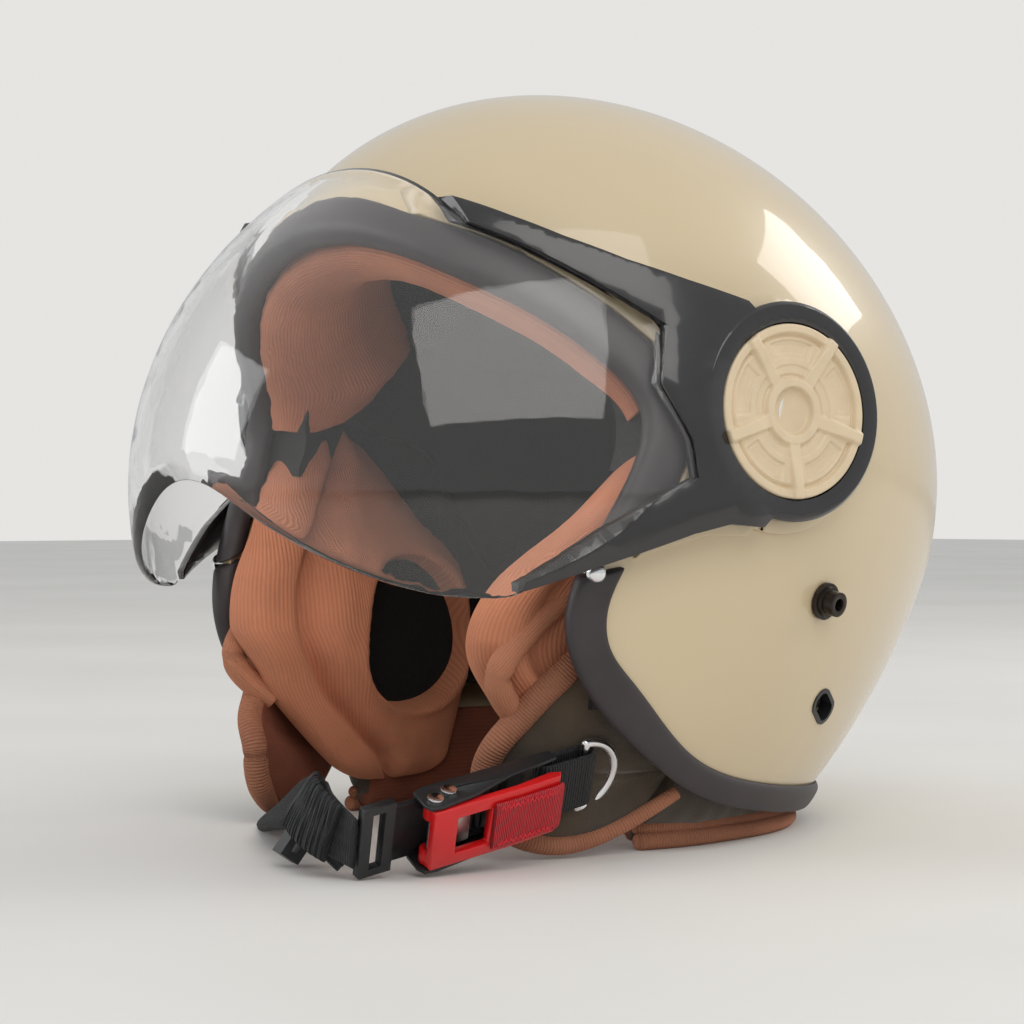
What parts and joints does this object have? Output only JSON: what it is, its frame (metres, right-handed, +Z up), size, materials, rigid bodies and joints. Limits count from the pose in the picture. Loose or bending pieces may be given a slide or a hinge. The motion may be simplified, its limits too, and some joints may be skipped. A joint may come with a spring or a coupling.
{
  "type": "open face motorcycle helmet",
  "caption": "Open face motorcycle helmet with flip-up clear visor on turning side knobs, padded liner, neck curtain and quick-release ratchet chin strap.",
  "frame": {"origin": "on the surface that the helmet stands on, under the middle of its overall box", "axes": "+Z up, -Y the way the face opening looks, +X the wearer's left; the helmet leans back on its neck curtain as it stands"},
  "size_m": [0.2684, 0.3246, 0.2659],
  "materials": {
    "shell_paint": "gloss cream lacquer",
    "knob_plastic": "satin cream plastic",
    "trim_rubber": "matte black rubber",
    "liner_foam": "moulded bead foam",
    "rivet_chrome": "polished",
    "visor_polycarbonate": "clear, hard coated",
    "arm_plastic": "gloss black",
    "bush_plastic": "acetal",
    "fastener_steel": "zinc plated",
    "snap_metal": "plated, satin",
    "dark_plastic": "moulded",
    "pad_knit": "brushed ribbed knit",
    "ear_mesh_black": "open mesh",
    "curtain_suede": "suede",
    "piping_brown": "rolled edge",
    "buckle_black": "black coated steel",
    "lever_red": "moulded",
    "tab_red": "woven tape",
    "tongue_black": "moulded",
    "ring_steel": "nickel plated wire",
    "webbing_black": "ribbed webbing",
    "webbing_pad": "stitched pad"
  },
  "bodies": {
    "helmet": {"brow_pad": "pad_knit", "buckle_frame": "buckle_black", "cheek_pad_left": "pad_knit", "cheek_pad_right": "pad_knit", "cheek_plate_left": "dark_plastic", "cheek_plate_right": "dark_plastic", "chin_strap": "webbing_black", "crown_pad": "pad_knit", "curtain_piping_left": "piping_brown", "curtain_piping_right": "piping_brown", "ear_mesh_left": "ear_mesh_black", "ear_mesh_right": "ear_mesh_black", "face_trim": "trim_rubber", "foam_liner": "liner_foam", "lever_pin": "fastener_steel", "lower_trim": "trim_rubber", "nape_curtain": "curtain_suede", "nape_roll": "piping_brown", "neck_curtain_left": "curtain_suede", "neck_curtain_right": "curtain_suede", "outer_shell": "shell_paint", "pawl_pin": "fastener_steel", "pivot_base_left": "shell_paint", "pivot_base_right": "shell_paint", "pivot_bush_left": "bush_plastic", "pivot_bush_right": "bush_plastic", "pivot_nut_left": "fastener_steel", "pivot_nut_right": "fastener_steel", "pivot_screw_left": "fastener_steel", "pivot_screw_right": "fastener_steel", "slot_grommet_left": "dark_plastic", "slot_grommet_right": "dark_plastic", "snap_stud_left": "snap_metal", "snap_stud_right": "snap_metal", "strap_anchor_left": "fastener_steel", "strap_anchor_right": "fastener_steel", "strap_keeper": "dark_plastic", "strap_left": "webbing_black", "strap_pad": "webbing_pad", "strap_right": "webbing_black", "stud_washer_left": "fastener_steel", "stud_washer_right": "fastener_steel", "trim_rivet_left": "rivet_chrome", "trim_rivet_right": "rivet_chrome"},
    "visor": {"visor_lens": "visor_polycarbonate", "visor_arm_left": "arm_plastic", "visor_arm_right": "arm_plastic"},
    "knob_left": {"knob_left": "knob_plastic"},
    "knob_right": {"knob_right": "knob_plastic"},
    "lever": {"buckle_lever": "lever_red", "pull_tab": "tab_red"},
    "pawl": {"pawl": "fastener_steel"},
    "tongue": {"ratchet_tongue": "tongue_black"},
    "d_ring": {"d_ring": "ring_steel"}
  },
  "joints": [
    {"name": "visor_hinge", "type": "hinge", "parent": "helmet", "child": "visor", "pos_m": [0, -0.00588, 0.1472], "axis": [-1, 0, 0], "range_deg": [0, 42]},
    {"name": "knob_turn_left", "type": "hinge", "parent": "visor", "child": "knob_left", "pos_m": [0.11941, -0.00588, 0.1472], "axis": [0.9819, -0.182, 0.0523], "range_deg": [0, 90]},
    {"name": "knob_turn_right", "type": "hinge", "parent": "visor", "child": "knob_right", "pos_m": [-0.11941, -0.00588, 0.1472], "axis": [-0.9819, -0.182, 0.0523], "range_deg": [0, 90]},
    {"name": "lever_hinge", "type": "hinge", "parent": "helmet", "child": "lever", "pos_m": [0.078, -0.12268, 0.0144], "axis": [-0.3925, 0.2138, -0.8946], "range_deg": [0, 60], "stiffness_Nm_per_rad": 0.02, "springref_deg": -17.19},
    {"name": "pawl_hinge", "type": "hinge", "parent": "helmet", "child": "pawl", "pos_m": [0.07687, -0.11623, 0.01644], "axis": [-0.3925, 0.2138, -0.8946], "range_deg": [0, 6]},
    {"name": "tongue_slide", "type": "slide", "parent": "helmet", "child": "tongue", "axis": [0.1335, 0.9756, 0.1746], "range_m": [0, 0.006]},
    {"name": "d_ring_swing", "type": "hinge", "parent": "helmet", "child": "d_ring", "pos_m": [0.0812, -0.06044, 0.02787], "axis": [-0.3925, 0.2138, -0.8946], "range_deg": [-1, 6]}
  ],
  "couplings": [
    {"joint": "pawl_hinge", "follows": "lever_hinge", "ratio": 0.1}
  ]
}
